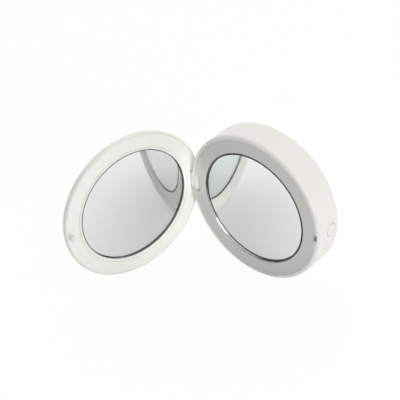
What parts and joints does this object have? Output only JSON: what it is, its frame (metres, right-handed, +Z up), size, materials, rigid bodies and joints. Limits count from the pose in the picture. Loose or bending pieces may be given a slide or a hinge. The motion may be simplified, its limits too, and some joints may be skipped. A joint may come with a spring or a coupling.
{
  "type": "compact mirror",
  "caption": "Round pocket compact with a mirror in each half, a thin hinged lid with a catch hook, a thick base with a push-button latch and a lamp ring.",
  "frame": {"origin": "middle of the open part's footprint, on the surface that its two rims stand on", "axes": "+Z up along the hinge pin, +Y out of the base's flat back, +X from the hinge to the push button"},
  "size_m": [0.1074, 0.0948, 0.085],
  "materials": {
    "white_plastic": "smooth moulded, slightly warm white",
    "diffuser_plastic": "milky satin, lets lamp light through",
    "ring_plastic": "satin, slightly cool white",
    "mirror_glass": "silvered float glass with a ground edge",
    "foam_tape": "double-sided foam tape",
    "carrier_plastic": "moulded, satin",
    "lamp_board": "white-lacquered circuit board",
    "lamp_resin": "phosphor-filled resin",
    "cell_foil": "laminated foil pouch",
    "circuit_board": "green-lacquered circuit board",
    "black_plastic": "satin",
    "slide_plastic": "self-lubricating, natural",
    "steel": "drawn and plated",
    "red_insulation": "soft wire insulation",
    "black_insulation": "soft wire insulation",
    "white_insulation": "soft wire insulation"
  },
  "bodies": {
    "base": {"base_shell": "white_plastic", "base_bezel": "diffuser_plastic", "base_mirror": "mirror_glass", "base_mirror_tape": "foam_tape", "battery_pad": "foam_tape", "light_carrier": "carrier_plastic", "led_board_upper": "lamp_board", "led_board_lower": "lamp_board", "leds_upper": "lamp_resin", "leds_lower": "lamp_resin", "battery_cell": "cell_foil", "main_board": "circuit_board", "board_chips": "black_plastic", "lamp_switch": "black_plastic", "socket_tongue": "black_plastic", "hinge_pin": "steel", "latch_spring": "steel", "carrier_screws": "steel", "board_screws": "steel", "charge_socket": "steel", "battery_leads": "red_insulation", "switch_leads": "black_insulation", "lamp_leads": "white_insulation", "jumper_leads": "white_insulation"},
    "lid": {"lid_shell": "white_plastic", "lid_bezel": "ring_plastic", "lid_mirror": "mirror_glass", "lid_mirror_tape": "foam_tape", "catch_hook": "white_plastic"},
    "latch": {"latch_button": "white_plastic", "latch_slide": "slide_plastic", "switch_plunger": "slide_plastic"}
  },
  "joints": [
    {"name": "lid_hinge", "type": "hinge", "parent": "base", "child": "lid", "pos_m": [-0.029, 0.03221, 0.0425], "axis": [0, 0, -1], "range_deg": [-102, 8]},
    {"name": "latch_press", "type": "slide", "parent": "base", "child": "latch", "axis": [-1, 0, 0], "range_m": [0, 0.0012], "stiffness_N_per_m": 700, "springref_m": -0.001, "deforming": ["latch_spring"]}
  ]
}
